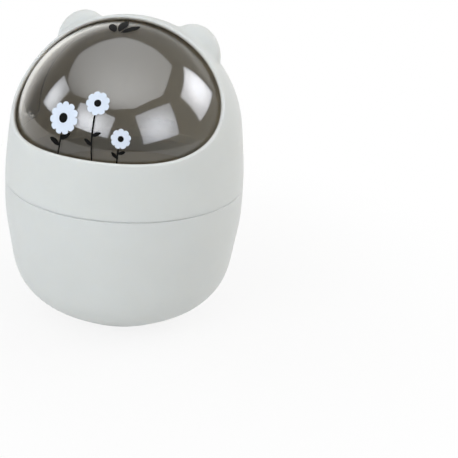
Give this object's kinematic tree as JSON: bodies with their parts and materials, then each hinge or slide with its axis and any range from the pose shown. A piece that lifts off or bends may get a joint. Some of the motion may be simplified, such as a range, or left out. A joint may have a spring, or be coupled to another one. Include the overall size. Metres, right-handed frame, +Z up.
{
  "type": "desktop trash can",
  "caption": "Small round desktop trash can: plastic cup, lift-off domed hood with two round ears and a curved mouth, and a smoky clear lid that swings back inside the hood.",
  "frame": {"origin": "centre of the foot, on the surface that the can stands on", "axes": "+Z up, the mouth faces -Y, the hinge axis lies along X"},
  "size_m": [0.14, 0.14, 0.1796],
  "materials": {
    "cup_plastic": "matte",
    "hood_plastic": "matte",
    "smoke_clear": "gloss",
    "pin_steel": "polished",
    "collar_clear": "gloss"
  },
  "bodies": {
    "cup": {"bin_cup": "cup_plastic"},
    "cover": {"hood": "hood_plastic", "pivot_pin_left": "pin_steel", "pivot_pin_right": "pin_steel", "pin_collar_left": "collar_clear", "pin_collar_right": "collar_clear"},
    "lid": {"swing_lid": "smoke_clear"}
  },
  "joints": [
    {"name": "hood_lift", "type": "slide", "parent": "cup", "child": "cover", "axis": [0, 0, 1], "range_m": [0, 0.06]},
    {"name": "lid_swing", "type": "hinge", "parent": "cover", "child": "lid", "pos_m": [0, 0, 0.1126], "axis": [-1, 0, 0], "range_deg": [0, 90]}
  ]
}
